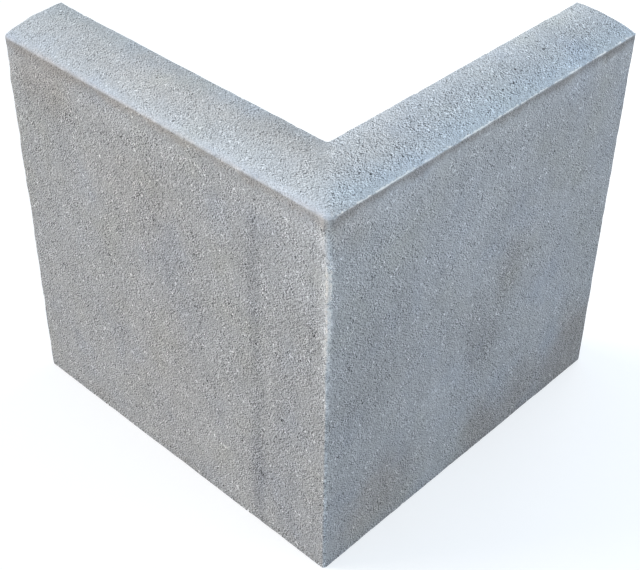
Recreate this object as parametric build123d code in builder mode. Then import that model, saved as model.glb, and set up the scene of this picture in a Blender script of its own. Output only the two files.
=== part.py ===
"""Corner kerb stone: two equal legs of one concrete casting, meeting at a right angle.

The frame has +Z up. The origin lies on the bed plane, where the centre lines of the
two legs cross. One leg runs along +X, the other along +Y, and the two show faces
look towards -Y and -X. The top is crowned, and its highest line lies nearer to the
back faces, so that it sheds water over the show faces.
"""

import os
from math import sqrt

from build123d import *

# Driving dimensions, in millimetres
leg_length = 300.0  # from the outer corner to a butt end, along a show face
height = 300.0  # from the bed to the highest line of the crown
thickness = 50.0  # from a show face to the back face behind it
crown_radius = 140.0  # of the pressed top, across a leg
crown_setback = 9.0  # from a back face to the highest line of the crown
face_arris_radius = 2.0  # arris between the crown and a show face
back_arris_radius = 2.0  # arris between the crown and a back face
outer_corner_radius = 3.0  # upright corner between the two show faces
inner_corner_radius = 2.0  # upright corner between the two back faces
end_arris_radius = 1.5  # eased edges round each butt end, apart from the bed edge

# Places worked out from the driving dimensions
half_thickness = thickness / 2
face_line = -half_thickness  # plane of a show face, on the axis across its leg
back_line = half_thickness  # plane of a back face
end_line = leg_length - half_thickness  # plane of a butt end, on the axis along its leg
crown_line = crown_setback - half_thickness  # highest line, measured outwards from a leg's middle
crown_centre = height - crown_radius
face_edge = crown_centre + sqrt(crown_radius**2 - (thickness - crown_setback) ** 2)
back_edge = crown_centre + sqrt(crown_radius**2 - crown_setback**2)

os.makedirs("parts", exist_ok=True)

with BuildPart() as kerb_stone:
    # Middle line of the two legs on the bed, from one butt end to the other
    with BuildLine() as middle_line:
        Polyline((end_line, 0, 0), (0, 0, 0), (0, end_line, 0))

    # Section of a leg on its butt end, x outwards and y up, with the crown on top
    with BuildSketch(Plane((end_line, 0, 0), x_dir=(0, -1, 0), z_dir=(-1, 0, 0))) as section:
        with BuildLine():
            Polyline(
                (-half_thickness, back_edge),
                (-half_thickness, 0),
                (half_thickness, 0),
                (half_thickness, face_edge),
            )
            ThreePointArc((half_thickness, face_edge), (crown_line, height), (-half_thickness, back_edge))
        make_face()
        face_arris = section.vertices().sort_by_distance((half_thickness, face_edge))[0]
        fillet(face_arris, radius=face_arris_radius)
        back_arris = section.vertices().sort_by_distance((-half_thickness, back_edge))[0]
        fillet(back_arris, radius=back_arris_radius)

    # The section turns the corner in a mitre
    sweep(path=middle_line.wires()[0], transition=Transition.RIGHT)

    # Round of the upright outer corner, cut down through the mitred crown
    with BuildSketch(Plane.XY) as corner_waste:
        with Locations((face_line, face_line)):
            Rectangle(outer_corner_radius, outer_corner_radius, align=(Align.MIN, Align.MIN))
        with Locations((face_line + outer_corner_radius, face_line + outer_corner_radius)):
            Circle(outer_corner_radius, mode=Mode.SUBTRACT)
    extrude(amount=height, mode=Mode.SUBTRACT)

    # Round of the re-entrant corner, filled up to where the arris of the back faces starts
    back_face = kerb_stone.faces().filter_by(Axis.Y).sort_by(Axis.Y)[1]
    with BuildSketch(Plane.XY) as corner_fill:
        with Locations((back_line, back_line)):
            Rectangle(inner_corner_radius, inner_corner_radius, align=(Align.MIN, Align.MIN))
        with Locations((back_line + inner_corner_radius, back_line + inner_corner_radius)):
            Circle(inner_corner_radius, mode=Mode.SUBTRACT)
    extrude(amount=back_face.bounding_box().max.Z)

    # Eased edges round the two butt ends, all but the edge on the bed
    for along in (Axis.X, Axis.Y):
        end_edges = kerb_stone.faces().sort_by(along)[-1].edges()
        fillet(end_edges.sort_by(Axis.Z)[1:], radius=end_arris_radius)

kerb_stone.part.label = "kerb_stone"
export_step(kerb_stone.part, "parts/kerb_stone.step")
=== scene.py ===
import math
from types import SimpleNamespace

import bpy
import numpy as np
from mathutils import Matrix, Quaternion, Vector


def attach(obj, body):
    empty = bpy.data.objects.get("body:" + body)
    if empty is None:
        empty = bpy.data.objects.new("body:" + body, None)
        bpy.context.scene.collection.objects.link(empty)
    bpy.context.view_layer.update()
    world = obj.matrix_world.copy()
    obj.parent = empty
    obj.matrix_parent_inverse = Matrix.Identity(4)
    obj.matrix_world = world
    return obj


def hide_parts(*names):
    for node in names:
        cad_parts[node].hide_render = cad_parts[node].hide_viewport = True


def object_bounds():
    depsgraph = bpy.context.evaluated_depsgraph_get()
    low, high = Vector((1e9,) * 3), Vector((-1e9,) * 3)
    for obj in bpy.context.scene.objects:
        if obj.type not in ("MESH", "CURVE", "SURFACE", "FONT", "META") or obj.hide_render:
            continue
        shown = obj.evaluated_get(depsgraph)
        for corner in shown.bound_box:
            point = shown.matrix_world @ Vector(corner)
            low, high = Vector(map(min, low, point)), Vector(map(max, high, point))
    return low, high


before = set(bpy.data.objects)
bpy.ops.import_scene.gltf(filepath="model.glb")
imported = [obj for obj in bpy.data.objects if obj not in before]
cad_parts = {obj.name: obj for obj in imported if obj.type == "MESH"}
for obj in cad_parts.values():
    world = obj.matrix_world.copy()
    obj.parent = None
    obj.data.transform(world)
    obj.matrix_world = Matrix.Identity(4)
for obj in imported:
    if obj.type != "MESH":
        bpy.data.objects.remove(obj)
cadLow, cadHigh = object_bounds()
mm = 0.001
print("frame loaded, CAD box", [round(v, 4) for v in (*cadLow, *cadHigh)])


# the casting: what a user would change, in metres; noise is listed as size, height or share, and shift
stone = {
    "crownRadius": 140 * mm,  # of the pressed top, across a leg
    "crownSetback": 9 * mm,  # from a back face to the highest line of the crown
    "mitreSoft": 14 * mm,  # width over which the two crowns run into each other
    "faceArris": (3.0 * mm, 1.0 * mm),  # rounds left along the show faces of the Y leg and of the X leg
    "arrisBlend": 10 * mm,  # from the corner to where each leg has its own round
    "backArris": 1.2 * mm,
    "bedArris": 1.0 * mm,
    "edgeNoise": [(11 * mm, 0.45, 0.0), (4 * mm, 0.25, 0.5)],  # how those rounds vary
    "edgeChips": (7 * mm, 0.3, 0.5, 3.5 * mm),  # size, shift, noise that starts one, widening of a round
    "cornerRound": 3.2 * mm,  # upright corner between the show faces
    "cornerNoise": [(23 * mm, 0.35, 0.4), (7 * mm, 0.3, 0.7)],
    "cornerTip": (1.4, 45 * mm, 8 * mm),  # growth of that round, from and to these depths below the top
    "innerRound": 1.2 * mm,  # upright corner between the back faces
    "innerReach": 6.0 * mm,  # how far into the top the inner round is felt
    "skin": 0.5 * mm,  # the middling surface lies this far inside the CAD faces
    "faceSkin": 0.9 * mm,  # the same for the show faces, under the lip
    "bedSkin": 0.15 * mm,
    "bedTurn": (0.5, 0.9),  # how far a normal points down where the bed's skin starts and is full
    "reliefNoise": [(70 * mm, 0.25 * mm, 0.0), (14 * mm, 0.10 * mm, 0.17), (4.5 * mm, 0.07 * mm, 0.34)],
    "lipFlare": 6.0 * mm,  # depth of the flare under the pressed lip
    "lipWidth": 1.8 * mm,  # the lip's rim on the top
    "lipRise": 0.55 * mm,
    "lipShare": 0.5,  # of the lip that stands, before its noise
    "lipNoise": [(11 * mm, 0.7, 0.2), (4 * mm, 0.45, 0.6)],
    "cornerChips": (5 * mm, 0.8, 0.25, 0.9 * mm, 5 * mm),  # the same, with depth and reach at the end
    "alongStep": 1.9 * mm,  # grid on the open faces
    "acrossStep": 2.0 * mm,
    "upStep": 4.5 * mm,
    "fineStep": 0.45 * mm,  # grid along the edges
    "edgeZone": 13 * mm,  # over which the grid widens
    "bedZone": 4 * mm,
}

legLength = cadHigh.x - cadLow.x
height = cadHigh.z
thickness = -2 * cadLow.x  # the origin is on the legs' middle lines
faceLine = cadLow.x
hair = 1e-9  # places nearer than this are the same

noiseSide = 64
noiseSeed = 11
noiseTable = np.random.default_rng(noiseSeed).uniform(-1, 1, (noiseSide,) * 3)


# value noise: random numbers on a cubic lattice, eased from corner to corner, from -1 to 1
def unevenness(points, size, shift=0.0):
    scaled = points / size + shift
    cell = np.floor(scaled).astype(int)
    part = scaled - cell
    ease = part * part * (3 - 2 * part)
    total = np.zeros(len(points))
    for corner in np.ndindex(2, 2, 2):
        share = np.where(np.array(corner) == 1, ease, 1 - ease).prod(axis=1)
        a, b, c = ((cell + corner) % noiseSide).T
        total += share * noiseTable[a, b, c]
    return total


# the sum of several noises
def layeredNoise(points, layers):
    return sum(share * unevenness(points, size, shift) for size, share, shift in layers)


# 0 below low, 1 above high, eased between
def smoothStep(value, low, high):
    part = np.clip((value - low) / (high - low), 0, 1)
    return part * part * (3 - 2 * part)


# places from 0 to length: the step grows with the square of the distance from an end, from fine to coarse
def gradedPlaces(length, coarse, startZone, endZone, samples=8001):
    place = np.linspace(0, length, samples)
    nearness = np.minimum(np.minimum(place / startZone, (length - place) / endZone), 1)
    step = stone["fineStep"] + (coarse - stone["fineStep"]) * nearness**2
    count = np.concatenate([[0], np.cumsum(np.diff(place) * 2 / (step[1:] + step[:-1]))])
    wanted = np.linspace(0, count[-1], int(round(count[-1])) + 1)
    return np.interp(wanted, count, place)


# The block is a lattice of places along the legs (minus on the Y leg), in from the show face, and up.
# Its six sheets share their edge points, so the skin is closed.
def blockSkin():
    zone = stone["edgeZone"]
    leg = gradedPlaces(legLength, stone["alongStep"], zone, zone)
    along = np.concatenate([-leg[:0:-1], leg])
    inward = gradedPlaces(thickness, stone["acrossStep"], zone, zone)
    up = gradedPlaces(height, stone["upStep"], stone["bedZone"], zone)
    counts = (len(along), len(inward), len(up))
    number = np.arange(np.prod(counts)).reshape(counts)
    sheets = [
        number[:, 0, :], number[:, -1, ::-1],  # show and back faces
        number[:, :, -1], number[:, ::-1, 0],  # top and bed
        number[-1, :, :], number[0, ::-1, :],  # butt ends
    ]
    quads = [
        np.stack([s[:-1, :-1], s[1:, :-1], s[1:, 1:], s[:-1, 1:]], axis=-1).reshape(-1, 4)
        for s in sheets
    ]
    used, quads = np.unique(np.concatenate(quads), return_inverse=True)
    i, j, k = np.unravel_index(used, counts)
    return along[i], inward[j], up[k], quads.reshape(-1, 4)


# The round of the nearest edge: it runs over from leg to leg, from show face to back and from bed to top,
# varies with noise, and widens where an edge is chipped.
def edgeRounds(along, inward, up):
    lattice = np.stack([along, inward, up], axis=1)
    yArris, xArris = stone["faceArris"]
    edge = yArris + (xArris - yArris) * smoothStep(along, -stone["arrisBlend"], stone["arrisBlend"])
    edge = edge + (stone["backArris"] - edge) * inward / thickness
    edge = stone["bedArris"] + (edge - stone["bedArris"]) * up / height
    edge = edge * (1 + layeredNoise(lattice, stone["edgeNoise"]))
    size, shift, level, widening = stone["edgeChips"]
    chip = np.clip(unevenness(lattice, size, shift) - level, 0, 1)
    return edge + chip * widening


# The block becomes the stone in three moves, on whole arrays: each point is pulled to the inset block and
# pushed out again by the edge's round; each column is shortened to the crown's arc; the two legs are laid
# out from the mitre, where the lines near the outer and inner corners run on arcs.
def castForm(along, inward, up):
    leg = np.abs(along)
    edge = edgeRounds(along, inward, up)
    block = np.stack([leg, inward, up], axis=1)
    inset = np.stack([
        np.minimum(leg, legLength - edge),
        np.clip(inward, edge, thickness - edge),
        np.clip(up, edge, height - edge),
    ], axis=1)
    push = block - inset
    leg, inward, up = (inset + push * (edge / np.linalg.norm(push, axis=1))[:, None]).T

    # crown: hip is the smooth minimum of the distances from the two show faces
    fromMitre = leg * (legLength - inward) / legLength
    nearMitre = np.clip(1 - fromMitre / stone["mitreSoft"], 0, 1)
    hip = inward - stone["mitreSoft"] * nearMitre**2 / 4
    fromCrown = hip - (thickness - stone["crownSetback"])
    drop = stone["crownRadius"] - np.sqrt(stone["crownRadius"]**2 - fromCrown**2)
    up = up * (1 - drop / height)
    onLeg = faceLine + inward + fromMitre
    acrossLeg = faceLine + inward

    # outer corner: an arc from the mitre to each show face, wider at the blunt tip
    growth, tipStart, tipFull = stone["cornerTip"]
    column = np.stack([np.zeros_like(up), np.zeros_like(up), up], axis=1)
    tip = growth * smoothStep(up, height - tipStart, height - tipFull)
    corner = stone["cornerRound"] * (1 + layeredNoise(column, stone["cornerNoise"]) + tip)
    arc = np.maximum(corner - inward, hair)
    turn = math.pi / 4 * (1 - fromMitre / arc)
    rounded = (fromMitre < arc) & (inward < corner)
    onLeg = np.where(rounded, faceLine + corner - arc * np.sin(turn), onLeg)
    acrossLeg = np.where(rounded, faceLine + corner - arc * np.cos(turn), acrossLeg)

    # inner corner: the same arc the other way round, fading into the top
    fromBack = thickness - inward
    arc = stone["innerRound"] + fromBack
    turn = math.pi / 4 * np.clip(1 - fromMitre / arc, 0, 1)
    felt = smoothStep(stone["innerReach"] - fromBack, 0, stone["innerReach"])
    felt = np.where(fromMitre < arc, felt, 0)
    centre = faceLine + thickness + stone["innerRound"]
    onLeg = onLeg + felt * (centre - arc * np.sin(turn) - onLeg)
    acrossLeg = acrossLeg + felt * (centre - arc * np.cos(turn) - acrossLeg)

    x = np.where(along >= 0, onLeg, acrossLeg)
    y = np.where(along >= 0, acrossLeg, onLeg)
    return np.stack([x, y, up], axis=1)


# normals of the grid: each quad's crossed diagonals, added up at its corners
def gridNormals(points, quads):
    a, b, c, d = (points[quads[:, n]] for n in range(4))
    facing = np.cross(c - a, d - b)
    total = np.zeros_like(points)
    for n in range(4):
        np.add.at(total, quads[:, n], facing)
    return total / np.linalg.norm(total, axis=1)[:, None]


# Relief along the normals: three sizes of unevenness, less the skin that keeps it inside the CAD faces,
# with the pressed lip flaring out under the arris and standing up at its rim, broken along its length by
# noise, and chips out of the upright corner.
def castRelief(points, normals, along, inward, up):
    onBed = smoothStep(-normals[:, 2], *stone["bedTurn"])
    onFace = inward < hair
    onTop = up > height - hair
    skin = np.where(onFace, stone["faceSkin"], stone["skin"])
    skin = skin + (stone["bedSkin"] - skin) * onBed
    uneven = layeredNoise(points, stone["reliefNoise"]) * np.minimum(skin / stone["skin"], 1)

    run = np.stack([along, np.zeros_like(along), np.zeros_like(along)], axis=1)
    lip = np.clip(stone["lipShare"] + layeredNoise(run, stone["lipNoise"]), 0, 1)
    flare = np.where(onFace, np.clip(1 - (height - up) / stone["lipFlare"], 0, 1)**2, 0)
    rim = np.where(onTop, np.clip(1 - inward / stone["lipWidth"], 0, 1)**2, 0)
    standing = lip * np.maximum(flare * stone["faceSkin"], rim * stone["lipRise"])

    size, shift, level, depth, reach = stone["cornerChips"]
    nearCorner = np.exp(-((np.abs(along) + inward) / reach)**2)
    chip = np.clip(unevenness(points, size, shift) - level, 0, 1) * depth * nearCorner
    relief = np.minimum(uneven + standing - skin - chip, 0)
    return points + normals * relief[:, None]


# broad patches in mm: middle, reach, how far it moves the tone, and tint, brown (plus) or cool (minus)
patches = [
    # show face of the Y leg
    ((-25, 0, 256), (20, 56, 62), 0.06, -0.5),
    ((-25, -12, 245), (20, 22, 62), 0.04, 0.0),
    ((-25, 8, 60), (15, 26, 110), -0.04, -0.6),
    ((-25, 38, 120), (9, 10, 170), -0.085, -0.3),
    ((-25, 38, 45), (9, 10, 75), -0.07, -0.6),
    ((-25, 39, 215), (9, 9, 75), -0.06, -0.2),
    ((-25, 55, 110), (12, 26, 130), -0.01, 0.0),
    ((-25, -10, 215), (8, 4.5, 80), -0.06, -0.2),
    ((-25, 150, 230), (12, 70, 62), 0.04, 0.35),
    ((-25, 240, 275), (10, 48, 30), -0.03, 0.8),
    ((-25, 215, 290), (9, 60, 9), -0.02, 0.5),
    ((-25, 130, 290), (9, 45, 8), 0.02, 0.4),
    ((-25, 130, 100), (12, 70, 110), 0.0, 0.25),
    ((-25, 200, 150), (12, 14, 140), 0.02, 0.0),
    ((-25, 215, 8), (8, 16, 11), -0.07, 0.3),
    ((-25, 72, 294), (14, 34, 14), 0.07, 0.0),
    # show face of the X leg
    ((164, -25, 158), (28, 14, 36), -0.085, 0.4),
    ((137, -25, 108), (28, 14, 40), -0.09, 0.3),
    ((115, -25, 138), (32, 14, 26), -0.04, 0.2),
    ((144, -25, 12), (32, 14, 46), -0.13, 0.9),
    ((257, -25, 18), (44, 14, 56), -0.09, 1.0),
    ((195, -25, 14), (54, 14, 42), -0.10, 0.9),
    ((40, -25, 30), (46, 14, 58), -0.065, 0.8),
    ((2, -25, 140), (34, 14, 100), -0.05, 0.1),
    ((110, -25, 225), (75, 14, 50), 0.04, -0.3),
    ((225, -25, 130), (48, 14, 62), 0.03, -0.4),
    ((90, -25, 85), (24, 14, 42), 0.025, -0.2),
    ((38, -25, 150), (54, 14, 90), -0.04, 0.15),
    ((252, -25, 36), (44, 14, 46), 0.0, 0.6),
    ((12, -25, 30), (44, 14, 50), 0.0, 0.6),
    ((-8, -25, 283), (30, 14, 26), 0.0, 0.6),
    # tops
    # painted warm light of the key lamp over the Y leg's top
    ((3, 150, 298), (30, 190, 12), 0.0, 1.0),
    ((4, 16, 298), (34, 34, 14), -0.01, 0.5),
    ((12, 50, 298), (26, 34, 14), -0.05, 0.5),
    ((48, 0, 298), (52, 40, 14), 0.055, 0.7),
    ((252, -4, 298), (48, 40, 14), -0.07, 0.0),
    # painted shade, darker and cooler, over the X leg's top
    ((150, 0, 298), (180, 36, 14), -0.085, -0.4),
]

# their rims: noise that bends them along X, Y and Z, and where a patch is full and gone, in its reaches
patchRim = {"size": 22 * mm, "shifts": (0.1, 0.4, 0.7), "bend": 0.2, "full": 0.1, "gone": 1.1}


# Tone, brown and cool of the patches at each point: a patch fades with the distance from its middle,
# counted in its reaches and bent by noise.
def patchValues(points):
    bends = [unevenness(points, patchRim["size"], shift) for shift in patchRim["shifts"]]
    bend = patchRim["bend"] * np.stack(bends, axis=1)
    values = np.zeros((len(points), 3))
    for middle, reach, tone, tint in patches:
        away = np.linalg.norm((points / mm - middle) / reach + bend, axis=1)
        inside = 1 - smoothStep(away, patchRim["full"], patchRim["gone"])
        values += inside[:, None] * (tone, max(tint, 0), max(-tint, 0))
    return values


# the mesh, with its places on the block and its patches kept as attributes for the finish
def castStone():
    along, inward, up, quads = blockSkin()
    points = castForm(along, inward, up)
    normals = gridNormals(points, quads)
    points = castRelief(points, normals, along, inward, up)
    mesh = bpy.data.meshes.new("cornerKerb")
    mesh.from_pydata(points, [], quads)
    mesh.polygons.foreach_set("use_smooth", np.ones(len(quads), bool))
    block = np.stack([along, inward, height - up], axis=1)  # along, in from the show face, below the top
    for name, values in (("block", block), ("patch", patchValues(points))):
        layer = mesh.attributes.new(name, "FLOAT_VECTOR", "POINT")
        layer.data.foreach_set("vector", values.astype(np.float32).ravel())
    mesh.update()
    kerb = bpy.data.objects.new("cornerKerb", mesh)
    bpy.context.scene.collection.objects.link(kerb)
    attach(kerb, "root")
    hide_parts("kerb_stone")
    print("stone cast,", 2 * len(quads), "triangles")
    return kerb


# a socket that can be added, multiplied and so on: each sign adds a Math node
class Wire:
    def __init__(self, tree, socket=None):
        self.tree = tree
        self.socket = socket

    # any node: its type, its settings, then values or links by socket; gives one of its outputs
    def make(self, kind, settings=None, sockets=None, out=0):
        node = self.tree.nodes.new(kind)
        for name, value in (settings or {}).items():
            setattr(node, name, value)
        for name, value in (sockets or {}).items():
            if isinstance(value, Wire):
                self.tree.links.new(value.socket, node.inputs[name])
            else:
                node.inputs[name].default_value = value
        return Wire(self.tree, node.outputs[out] if node.outputs else None)

    def calc(self, operation, first, second):
        return self.make("ShaderNodeMath", {"operation": operation}, {0: first, 1: second})

    def __add__(self, other):
        return self.calc("ADD", self, other)

    def __radd__(self, other):
        return self.calc("ADD", other, self)

    def __sub__(self, other):
        return self.calc("SUBTRACT", self, other)

    def __rsub__(self, other):
        return self.calc("SUBTRACT", other, self)

    def __mul__(self, other):
        return self.calc("MULTIPLY", self, other)

    def __rmul__(self, other):
        return self.calc("MULTIPLY", other, self)

    # 0 at low, 1 at high, eased between; low may lie above high
    def step(self, low, high):
        sockets = {0: self, 1: low, 2: high, 3: 0.0, 4: 1.0}
        return self.make("ShaderNodeMapRange", {"interpolation_type": "SMOOTHSTEP"}, sockets)

    # this wire as the share between two values
    def between(self, first, second):
        return first + (second - first) * self

    # noise of that size in metres on a place, less its middle value
    def noise(self, size, detail=2.0):
        sockets = {"Vector": self, "Scale": 1 / size, "Detail": detail}
        return self.make("ShaderNodeTexNoise", {}, sockets) - 0.5

    # cells of that size in metres: a number for each cell, or the distance from its middle
    def cells(self, size, out="Color"):
        return self.make("ShaderNodeTexVoronoi", {}, {"Vector": self, "Scale": 1 / size}, out)

    def vector(self, operation, other, out=0):
        return self.make("ShaderNodeVectorMath", {"operation": operation}, {0: self, 1: other}, out)

    # the three coordinates of a vector
    def parts(self):
        return [self.make("ShaderNodeSeparateXYZ", {}, {0: self}, axis) for axis in "XYZ"]

    # this wire as the factor between two colours
    def blend(self, first, second, kind="MIX"):
        settings = {"data_type": "RGBA", "blend_type": kind}
        return self.make("ShaderNodeMix", settings, {0: self, 6: first, 7: second}, out=2)


# the emptied node tree of a material or world, as a wire that makes nodes
def emptyTree(owner):
    owner.use_nodes = True
    owner.node_tree.nodes.clear()
    return Wire(owner.node_tree)


# The concrete's finish. A fade is where a layer starts and where it is full, and a share is how far it
# moves the tone. Laps, grains, strip tones and the wear's shift are pairs, for the Y leg and the X leg.
# Ragged or torn is how far that noise moves a rim.
concrete = {
    "dark": (0.10, 0.102, 0.105, 1.0),  # tone 0, as linear colour
    "pale": (0.74, 0.748, 0.756, 1.0),  # tone 1
    "lime": (0.90, 0.90, 0.885, 1.0),  # covers the upright corner
    "lipHighlight": (0.92, 0.86, 0.79, 1.0),  # a painted highlight covering the lip's line
    "brown": (0.98, 0.925, 0.875, 1.0),  # from here on the colours multiply
    "warm": (0.995, 0.99, 0.955, 1.0),
    "cool": (0.96, 0.98, 1.02, 1.0),
    "blue": (0.925, 0.965, 1.0, 1.0),  # painted sky tint, on the strip of the X leg's top
    "paintedWarmLight": (1.0, 0.935, 0.875, 1.0),  # painted warm light on the wear of the round, against the blue of the sky that lights it
    "tone": 0.475,
    "topTone": 0.205,  # added on the top
    "raggedSize": 5 * mm,
    "tornSize": 2.4 * mm,
    "flecks": (-0.22, 0.06),  # fade of the flecks, on the torn noise
    # masks
    "legChange": 1 * mm,  # half the width of the change from leg to leg
    "mitreBlur": 5,  # how many times softer that change is on the top
    "faceFade": (0.9 * mm, 0.2 * mm),  # of the show faces, from inside
    "lap": (2.0 * mm, 0.55 * mm),  # how far the pale top laps over the arris
    "lapRagged": (3.0 * mm, 0.0),
    "lapSoft": (1.4 * mm, 0.35 * mm),
    "tipSoft": (2.2 * mm, (30 * mm, 6 * mm)),  # softer still by the upright corner: how much, fade
    # strips of the top that the mould pressed smooth; their tones and tints are partly painted light,
    # shade and sky sheen
    "stripRagged": 6 * mm,
    "faceStrip": (7.28 * mm, 2.6 * mm),  # fade along the show face
    # the show face's strip is paler: partly its smoother pressed finish, partly a painted highlight where
    # the Y leg's crown turns to the key lamp
    "faceStripToneAndHighlight": (0.06, 0.018),
    "backStrip": (22.4 * mm, 4.2 * mm),  # fade along the back face
    # painted shade on the Y leg's back strip, painted light on the X leg's
    "backStripLightAndShade": (-0.085, 0.065),
    "stripCalm": (0.4, 0.12),  # share of the grain that is gone on the two strips
    "stripSkySheen": 0.5,  # share of the painted sky sheen on the show face's strip of the Y leg
    "paintedSkyStrip": (26 * mm, 4 * mm),  # fade of the painted sky tint on the X leg
    # grain
    "faceGrain": (0.75, 0.61),  # share of the grain on the show faces
    "topGrain": (0.63, 0.80),  # the same on the tops
    "grainSpots": (9 * mm, (-0.2, 0.2), (0.7, 1.25)),  # size, fade, grain in calm and in rough spots
    "arrisCalm": ((14 * mm, 4.2 * mm), 0.4),  # the faces are smoother under the arris
    "sand": (0.48 * mm, 2.05),  # size and share
    "gaps": (1.1 * mm, 0.2),  # dark gaps on both sides of a pale grain: how far off, and how deep
    "topSkew": (0.35, 0.2),  # dulls pale grains of the top and deepens dark ones: share, middling square
    "rims": (1.0 * mm, 0.48, (0.15, 0.45)),  # size, middling distance, share on the faces and on the top
    "grit": (1.4 * mm, 0.55, (0.12, 0.09)),  # size, share, fade of the rare dark and pale ones
    "pores": (2.6 * mm, 0.28),
    "poreHole": (0.30, 0.12),  # fade of a pore from its rim to its floor, in cells
    "poreChoice": (0.45, 0.55),  # about half of the cells have one
    "poreFlock": (26 * mm, (0.0, 0.16)),  # size and fade of the flocks
    "topPores": (0.18, 0.6),  # larger flocks and deeper pores on the top
    # mottling
    "blotch": (13 * mm, 0.14),
    "cloud": (48 * mm, 0.16),
    "streak": (9 * mm, 0.10, 0.08),  # size, share, and how much the noise is drawn out downwards
    "hue": (42 * mm, 0.25),  # size of the warm and cool spots, noise at which they are full
    "bedShade": ((11 * mm, 0.0), 10 * mm, 0.07),  # fade, ragged, share
    # the pressed lip
    "lipBreaks": (7.5 * mm, 0.2),  # length of the scallops and breaks, and how much they are drawn out
    "lipSwells": 30 * mm,
    "lipLine": (1.26 * mm, 0.54 * mm),  # fade of the painted highlight line on the X leg
    "lineSlope": 2.2,  # how much faster it fades on the face than on the top
    "lineTorn": 3.5 * mm,
    "lineBroken": (0.10, -0.02),  # fade at its breaks, on their noise
    "lipShade": ((0.8 * mm, 2.6 * mm), 3.0 * mm, 0.125),  # fade below the arris, softness, share
    "lipDepth": (6.25 * mm, 15 * mm, 6 * mm, 10 * mm),  # of it: middling, by swells, breaks and tears
    "yShade": ((-110 * mm, -240 * mm), (0.12, 0.2)),  # how much of it the Y leg has: fade, near and far
    "drip": (11 * mm, 0.5 * mm, 0.7 * mm, 0.12),  # length by the breaks, start, softness, share
    "arris": ((3.2 * mm, 0.4 * mm), 0.05),  # painted shade: a darker, cooler arris of the Y leg, where the key lamp lights the round more than the top and face
    "brow": ((3.25 * mm, 11.7 * mm), (28.6 * mm, 13 * mm), 0.055),  # paler strip below: two fades, share
    "browShift": (8 * mm, 4 * mm),  # ragged, and lower on the Y leg
    "shadeBrown": 0.7,  # share of the brown tint in the shade
    # the upright corner
    "wearSpan": (0.36, 0.84, 0.86, 0.96),  # of the height: starts, full, fades, least
    "wearLeft": 0.05,  # share elsewhere
    "wearRagged": 30 * mm,
    "blunt": ((3.9 * mm, 2.145 * mm), 0.50),  # fade and share of the paler round itself: wear, and partly a painted highlight where the lamps light the round less than the faces
    "bluntWider": (1.2 * mm, 1.7 * mm),  # where it is worn: wider, and narrower low down on the X leg
    "bluntTorn": 4 * mm,
    "bluntGrain": (0.14, 0.35),  # paler where it is worn, and by its grains
    "wearShift": (1.4 * mm, 2.6 * mm),  # the wear lies more on the Y leg
    "cornerShade": ((16 * mm, 4.8 * mm), 0.02),
    "cornerWear": ((15 * mm, 3.0 * mm), 0.45),
    "wearRim": (3 * mm, 14 * mm, 6 * mm),  # narrower on the X leg, ragged, torn
    "cornerLime": ((7.5 * mm, 4.125 * mm), 0.8),
    "limeRim": (12 * mm, 6 * mm),  # ragged, torn
    "limeFlecks": (0.6, 1.0),  # share of it off and on the flecks
    "limeGrain": (0.75, 0.35),  # share of it, and how far the grains change that
    "tip": ((15 * mm, 7.5 * mm), 0.3),  # browner top of the corner: fade and share
    # marks and shader
    "markRagged": 8 * mm,
    "markFade": (1.0, 0.2),
    "bumpHeight": 0.10 * mm,
    "bumpGrain": 0.6,  # against the pores
    "roughness": 0.92,
    "specular": 0.25,
}

# small marks in mm: middle and reach of a soft ball, how far it moves the tone
marks = [
    ((-25, 60, 16), (4, 3, 2.5), 0.35),
    ((-25, 34.5, 50), (5, 2.6, 3.2), -0.35),
    ((-25, 14.5, 114), (5, 3.6, 3.2), -0.35),
    ((250, -25, 285), (6, 4, 2.6), 0.22),
    ((115, -25, 285), (5, 4, 2.4), 0.22),
    ((-25, -19, 290), (10, 8, 10), 0.12),
    ((-25, -18, 276), (8, 8, 12), 0.14),
    ((-25, 202, 267), (4, 3.4, 5), -0.14),
    ((-25, 144, 251), (4, 4, 3), -0.12),
    ((-25, 174, 267.5), (4, 1.6, 1.8), -0.45),
    ((-25, 171.5, 263), (4, 1.5, 2.2), -0.45),
    ((-25, 159.5, 271.5), (4, 1.5, 1.5), 0.35),
    ((-25, 132, 257.5), (4, 1.5, 1.5), -0.40),
    ((-25, 119.5, 260.5), (4, 1.5, 2.4), -0.45),
]


# where a point lies, as wires: places, the noises that tear rims, and masks of top, show face and leg
def stoneMap(start):
    at = SimpleNamespace(start=start)
    at.place = start.make("ShaderNodeTexCoord", out="Object")
    x, y, at.z = at.place.parts()
    at.fromCorner = x + y - 2 * faceLine  # the distances from both show faces, added
    block = start.make("ShaderNodeAttribute", {"attribute_name": "block"}, out="Vector")
    at.along, at.inward, at.below = block.parts()
    at.ragged = at.place.noise(concrete["raggedSize"], detail=3.0)
    at.torn = at.place.noise(concrete["tornSize"])
    at.flecks = at.torn.step(*concrete["flecks"])

    change = concrete["legChange"]
    leg = at.along.step(-change, change)
    lap = at.below - leg.between(*concrete["lap"]) + leg.between(*concrete["lapRagged"]) * at.ragged
    softer, fade = concrete["tipSoft"]
    soft = leg.between(*concrete["lapSoft"]) + softer * at.fromCorner.step(*fade)
    at.onTop = lap.step(soft, -1 * soft)  # the pale top laps softly over the arris of the Y leg
    at.onFace = at.inward.step(*concrete["faceFade"])
    slower = at.onTop.between(1.0, 1 / concrete["mitreBlur"])
    at.onX = (at.along * slower).step(-change, change)  # sharp on the corner, soft on the mitre
    at.onY = 1 - at.onX
    return at


# the smooth strips of the top, along the show face and along the back, and the X leg's strip with its
# painted sky tint
def pressedStrips(at):
    inward = at.inward + concrete["stripRagged"] * at.ragged
    faceStrip = at.onTop * inward.step(*concrete["faceStrip"])
    backStrip = at.onTop * (thickness - inward).step(*concrete["backStrip"])
    paintedSkyStrip = at.onTop * at.onX * inward.step(*concrete["paintedSkyStrip"])
    return faceStrip, backStrip, paintedSkyStrip


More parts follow.
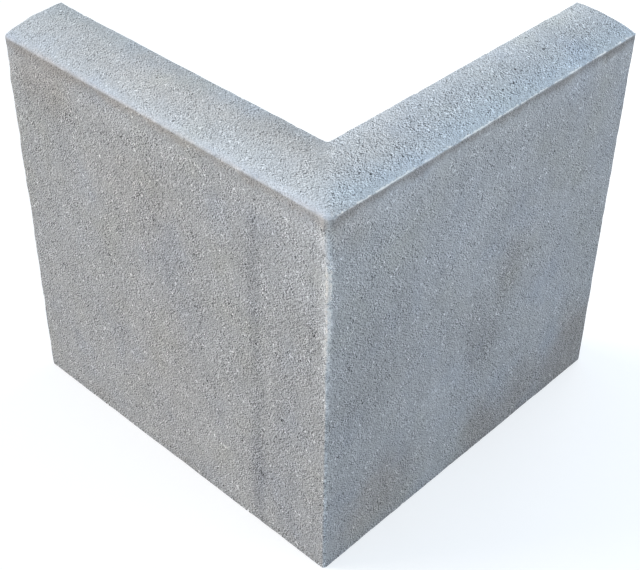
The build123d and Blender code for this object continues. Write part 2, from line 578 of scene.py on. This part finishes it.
# flat grains of sand with darker gaps and rims, rare grit, and open pores in flocks
def sandGrain(at, faceStrip, backStrip):
    faceGrain = at.onX.between(*concrete["faceGrain"])
    topGrain = at.onX.between(*concrete["topGrain"])
    coarse = at.onTop.between(faceGrain, topGrain)
    faceCalm, backCalm = concrete["stripCalm"]
    coarse = coarse * (1 - (faceCalm * faceStrip + backCalm * backStrip))
    size, fade, shares = concrete["grainSpots"]
    coarse = coarse * at.place.noise(size, detail=3.0).step(*fade).between(*shares)
    fade, share = concrete["arrisCalm"]
    coarse = coarse * (1 - share * at.onFace * at.below.step(*fade))

    size, sandShare = concrete["sand"]
    grain = sandShare * (at.place.cells(size) - 0.5)
    off, deep = concrete["gaps"]
    beside = at.start.make("ShaderNodeCombineXYZ", {}, {0: off * at.onX, 1: off * at.onY})
    gaps = at.place.vector("ADD", beside).cells(size) + at.place.vector("SUBTRACT", beside).cells(size)
    share, middling = concrete["topSkew"]
    sand = grain - sandShare * deep * (gaps - 1) - share * at.onTop * (grain * grain - middling)
    size, middling, shares = concrete["rims"]
    sand = sand + at.onTop.between(*shares) * (middling - at.place.cells(size, "Distance"))
    size, share, fade = concrete["grit"]
    grit = at.place.cells(size)
    sand = sand + share * ((1 - grit).step(*fade) - grit.step(*fade))

    size, fade = concrete["poreFlock"]
    larger, deeper = concrete["topPores"]
    flock = (at.place.noise(size) + larger * at.onTop).step(*fade) * (1 + deeper * at.onTop)
    size, share = concrete["pores"]
    hole = at.place.cells(size, "Distance").step(*concrete["poreHole"])
    pore = flock * hole * at.place.cells(size).step(*concrete["poreChoice"])
    return coarse * (sand - share * pore), grain, pore


# blotches, clouds, streaks that run down the faces, and shade along the bed
def mottling(at):
    size, share = concrete["blotch"]
    tone = share * at.place.noise(size, detail=3.0)
    size, share = concrete["cloud"]
    tone = tone + share * at.place.noise(size, detail=3.0)
    size, share, drawn = concrete["streak"]
    tone = tone + share * at.place.vector("MULTIPLY", (1.0, 1.0, drawn)).noise(size) * (1 - at.onTop)
    fade, ragged, share = concrete["bedShade"]
    return tone - share * (at.z + ragged * at.ragged).step(*fade)


# the lip: its broken bright line, a painted highlight; the shade that hangs under it, pale drips, the
# arris with its painted shade, and the brow
def lipMarks(at):
    size, drawn = concrete["lipBreaks"]
    run = at.place.vector("MULTIPLY", (1.0, 1.0, drawn))
    breaks = run.noise(size)
    swells = run.noise(concrete["lipSwells"])
    # the painted highlight along the lip's edge
    line = at.inward + concrete["lineSlope"] * at.below + concrete["lineTorn"] * at.torn
    line = at.onX * line.step(*concrete["lipLine"]) * breaks.step(*concrete["lineBroken"])

    middling, bySwells, byBreaks, byTears = concrete["lipDepth"]
    depth = middling + bySwells * swells + byBreaks * breaks + byTears * at.torn
    fade, soft, share = concrete["lipShade"]
    shade = at.onFace * (at.below - depth).step(soft, -soft) * at.below.step(*fade)
    fade, yShares = concrete["yShade"]
    yShare = at.along.step(*fade).between(*yShares)
    tone = -share * at.onX.between(yShare, 1.0) * shade

    length, start, soft, share = concrete["drip"]
    tone = tone + share * at.onFace * (at.below + length * breaks - start).step(soft, -soft)
    # painted shade on the Y leg's arris
    fade, share = concrete["arris"]
    arris = at.onY * (at.inward + at.below).step(*fade)
    tone = tone - share * arris
    upper, lower, share = concrete["brow"]
    ragged, yLower = concrete["browShift"]
    under = at.below + ragged * at.ragged - yLower * at.onY
    tone = tone + share * at.onFace * under.step(*upper) * under.step(*lower)
    return tone, line, shade, arris


# the upright corner: its pale round, worn and partly a painted highlight, the shade beside it, ragged
# wear, the lime on it, and its brown tip
def cornerWear(at, grain):
    starts, full, fades, least = (height * part for part in concrete["wearSpan"])
    left = concrete["wearLeft"]
    fading = (at.z + concrete["wearRagged"] * at.ragged).step(fades, least).between(1.0, left)
    span = (at.z.step(starts, full) * fading).between(left, 1.0)

    wider, narrower = concrete["bluntWider"]
    wider = span * (wider - narrower * at.onX * at.z.step(full, starts)) - concrete["bluntTorn"] * at.torn
    # the paler round: wear, and partly a painted highlight
    fade, share = concrete["blunt"]
    blunt = at.onFace * (at.fromCorner - wider).step(*fade)
    paler, byGrain = concrete["bluntGrain"]
    tone = blunt * (share + span * (paler + byGrain * grain))

    away = at.fromCorner + at.onX.between(*concrete["wearShift"])
    fade, share = concrete["cornerShade"]
    tone = tone - share * away.step(*fade) * at.onX * at.onFace
    fade, share = concrete["cornerWear"]
    narrower, ragged, torn = concrete["wearRim"]
    worn = (away + narrower * at.onX + ragged * at.ragged + torn * at.torn).step(*fade)
    tone = tone + share * span * at.onFace * at.flecks * worn

    fade, share = concrete["cornerLime"]
    ragged, torn = concrete["limeRim"]
    limed = share * span * at.onFace * (away + ragged * at.ragged + torn * at.torn).step(*fade)
    plain, byGrain = concrete["limeGrain"]
    limed = limed * at.flecks.between(*concrete["limeFlecks"]) * (plain + byGrain * grain)
    fade, share = concrete["tip"]
    tip = share * at.onFace * at.onX * at.z.step(fades, least) * away.step(*fade)
    return tone, limed, blunt * span, tip


# the broad patches, and small marks with ragged rims
def stains(at):
    patch = at.start.make("ShaderNodeAttribute", {"attribute_name": "patch"}, out="Vector")
    tone, brown, cool = patch.parts()
    moved = concrete["markRagged"] * at.ragged
    wobble = at.start.make("ShaderNodeCombineXYZ", {}, {n: moved for n in range(3)})
    place = at.place.vector("ADD", wobble)
    for middle, reach, share in marks:
        scaled = place.vector("DIVIDE", [v * mm for v in reach])
        away = scaled.vector("DISTANCE", [m / r for m, r in zip(middle, reach)], "Value")
        tone = tone + share * away.step(*concrete["markFade"])
    return tone, brown, cool


# all layers add up to one tone, which picks the colour; then come covers, tints and bump
def concreteFinish():
    material = bpy.data.materials.new("pressedConcrete")
    start = emptyTree(material)
    at = stoneMap(start)
    faceStrip, backStrip, paintedSkyStrip = pressedStrips(at)
    sand, grain, pore = sandGrain(at, faceStrip, backStrip)
    lipTone, line, shade, arris = lipMarks(at)
    cornerTone, limed, paintedWarmLight, tip = cornerWear(at, grain)
    stainTone, brown, cool = stains(at)
    tone = concrete["tone"] + concrete["topTone"] * at.onTop + sand + mottling(at)
    # paler strip along the show face, partly a painted highlight
    tone = tone + at.onX.between(*concrete["faceStripToneAndHighlight"]) * faceStrip
    # painted shade and light along the back strips
    tone = tone + at.onX.between(*concrete["backStripLightAndShade"]) * backStrip
    tone = tone + lipTone + cornerTone + stainTone

    # grains may be darker than dark or paler than pale
    beyond = {"data_type": "RGBA", "clamp_factor": False, "clamp_result": True}
    ends = {0: tone, 6: concrete["dark"], 7: concrete["pale"]}
    colour = start.make("ShaderNodeMix", beyond, ends, out=2)
    colour = limed.blend(colour, concrete["lime"])
    # painted highlight along the lip's edge
    colour = line.blend(colour, concrete["lipHighlight"])

    size, full = concrete["hue"]
    hue = at.place.noise(size, detail=3.0)
    tints = [
        # painted warm light on the worn round
        (paintedWarmLight, "paintedWarmLight"),
        (brown + concrete["shadeBrown"] * shade + tip, "brown"),
        (cool, "cool"),
        (hue.step(0.0, full), "warm"),
        (hue.step(0.0, -full), "cool"),
        # painted sky sheen on the Y leg's strip, and painted shade on its arris
        (concrete["stripSkySheen"] * faceStrip * at.onY + arris, "cool"),
        # painted sky tint on the X leg's strip
        (paintedSkyStrip, "blue"),
    ]
    for share, tint in tints:
        colour = share.blend(colour, concrete[tint], "MULTIPLY")

    bump = start.make("ShaderNodeBump", {}, {
        "Height": concrete["bumpGrain"] * grain - pore,
        "Distance": concrete["bumpHeight"], "Strength": 1.0,
    })
    shader = start.make("ShaderNodeBsdfPrincipled", {}, {
        "Base Color": colour, "Roughness": concrete["roughness"],
        "Specular IOR Level": concrete["specular"], "Normal": bump,
    })
    start.make("ShaderNodeOutputMaterial", {}, {"Surface": shader})
    print("concrete mixed,", len(material.node_tree.nodes), "nodes")
    return material


# floor, lamps and world
studio = {
    "floorSize": 8.0,
    "floorShown": (0.45, 0.45, 0.45, 1.0),  # what the camera sees
    "floorLift": 0.60,
    "floorBounce": (0.20, 0.20, 0.20, 1.0),  # what lights the stone
    "backdrop": (1.0, 1.0, 1.0, 1.0),  # what the camera sees
    "sky": (0.55, 0.72, 0.88, 1.0),  # what lights the stone
}

lamps = {
    "key": {
        "kind": "SUN", "at": (-0.539, 0.770, 0.342), "aim": (0, 0, 0), "angle": 40,
        "power": 3.05, "colour": (1.0, 0.83, 0.68),
    },
    "fill": {
        "kind": "AREA", "at": (0.14, -0.925, 0.40), "aim": (0.125, -0.025, 0.15), "size": 0.5,
        "power": 3.0, "colour": (1.0, 0.935, 0.93),
    },
    "back": {
        "kind": "AREA", "at": (1.05, 0.20, 0.26), "aim": (0.10, 0.12, 0.15), "size": 0.5,
        "power": 2.8, "colour": (1.0, 0.95, 0.90),
    },
}


# 1 for what the camera sees, straight or in a gloss or glass, and 0 for what only lights the stone
def seenDirectly(start):
    rays = [
        start.make("ShaderNodeLightPath", out=name)
        for name in ("Is Camera Ray", "Is Glossy Ray", "Is Transmission Ray")
    ]
    return rays[0] + rays[1] + rays[2]


def layFloor():
    half = studio["floorSize"] / 2
    corners = [(-half, -half, 0), (half, -half, 0), (half, half, 0), (-half, half, 0)]
    mesh = bpy.data.meshes.new("studioFloor")
    mesh.from_pydata(corners, [], [(0, 1, 2, 3)])
    floor = bpy.data.objects.new("studioFloor", mesh)
    bpy.context.scene.collection.objects.link(floor)
    material = bpy.data.materials.new("paleFloor")
    start = emptyTree(material)
    shown = start.make("ShaderNodeBsdfDiffuse", {}, {"Color": studio["floorShown"]})
    lift = start.make("ShaderNodeEmission", {}, {"Strength": studio["floorLift"]})
    shown = start.make("ShaderNodeAddShader", {}, {0: shown, 1: lift})
    bounce = start.make("ShaderNodeBsdfDiffuse", {}, {"Color": studio["floorBounce"]})
    mixed = start.make("ShaderNodeMixShader", {}, {0: seenDirectly(start), 1: bounce, 2: shown})
    start.make("ShaderNodeOutputMaterial", {}, {"Surface": mixed})
    mesh.materials.append(material)
    print("floor laid")


def hangLamps():
    for name, lamp in lamps.items():
        light = bpy.data.lights.new(name, lamp["kind"])
        light.energy = lamp["power"]
        light.color = lamp["colour"]
        if lamp["kind"] == "SUN":
            light.angle = math.radians(lamp["angle"])
        else:
            light.size = lamp["size"]
        holder = bpy.data.objects.new(name, light)
        holder.location = lamp["at"]
        backwards = Vector(lamp["at"]) - Vector(lamp["aim"])
        holder.rotation_euler = backwards.to_track_quat("Z", "Y").to_euler()
        bpy.context.scene.collection.objects.link(holder)
    world = bpy.data.worlds.new("studioWorld")
    bpy.context.scene.world = world
    start = emptyTree(world)
    sky = seenDirectly(start).blend(studio["sky"], studio["backdrop"])
    background = start.make("ShaderNodeBackground", {}, {"Color": sky, "Strength": 1.0})
    start.make("ShaderNodeOutputWorld", {}, {"Surface": background})
    print("lamps hung,", len(lamps))


# the photograph's view of the stone
view = {
    "eye": (-0.45719, -0.42338, 0.72016),
    "aim": (0.05479, 0.05720, 0.15706),
    "roll": 0.785,  # degrees
    "lens": 75.04,
    "sensor": 36.0,
    "clipEnd": 50,
}


def setCamera():
    data = bpy.data.cameras.new("photoView")
    data.lens = view["lens"]
    data.sensor_width = view["sensor"]
    data.clip_end = view["clipEnd"]
    camera = bpy.data.objects.new("photoView", data)
    camera.location = view["eye"]
    looking = (Vector(view["aim"]) - Vector(view["eye"])).to_track_quat("-Z", "Y")
    camera.rotation_mode = "QUATERNION"
    camera.rotation_quaternion = looking @ Quaternion((0, 0, 1), math.radians(view["roll"]))
    bpy.context.scene.collection.objects.link(camera)
    bpy.context.scene.camera = camera
    print("camera set, lens", view["lens"])


kerb = castStone()
kerb.data.materials.append(concreteFinish())
layFloor()
hangLamps()
setCamera()
bpy.context.scene.view_settings.view_transform = "Standard"
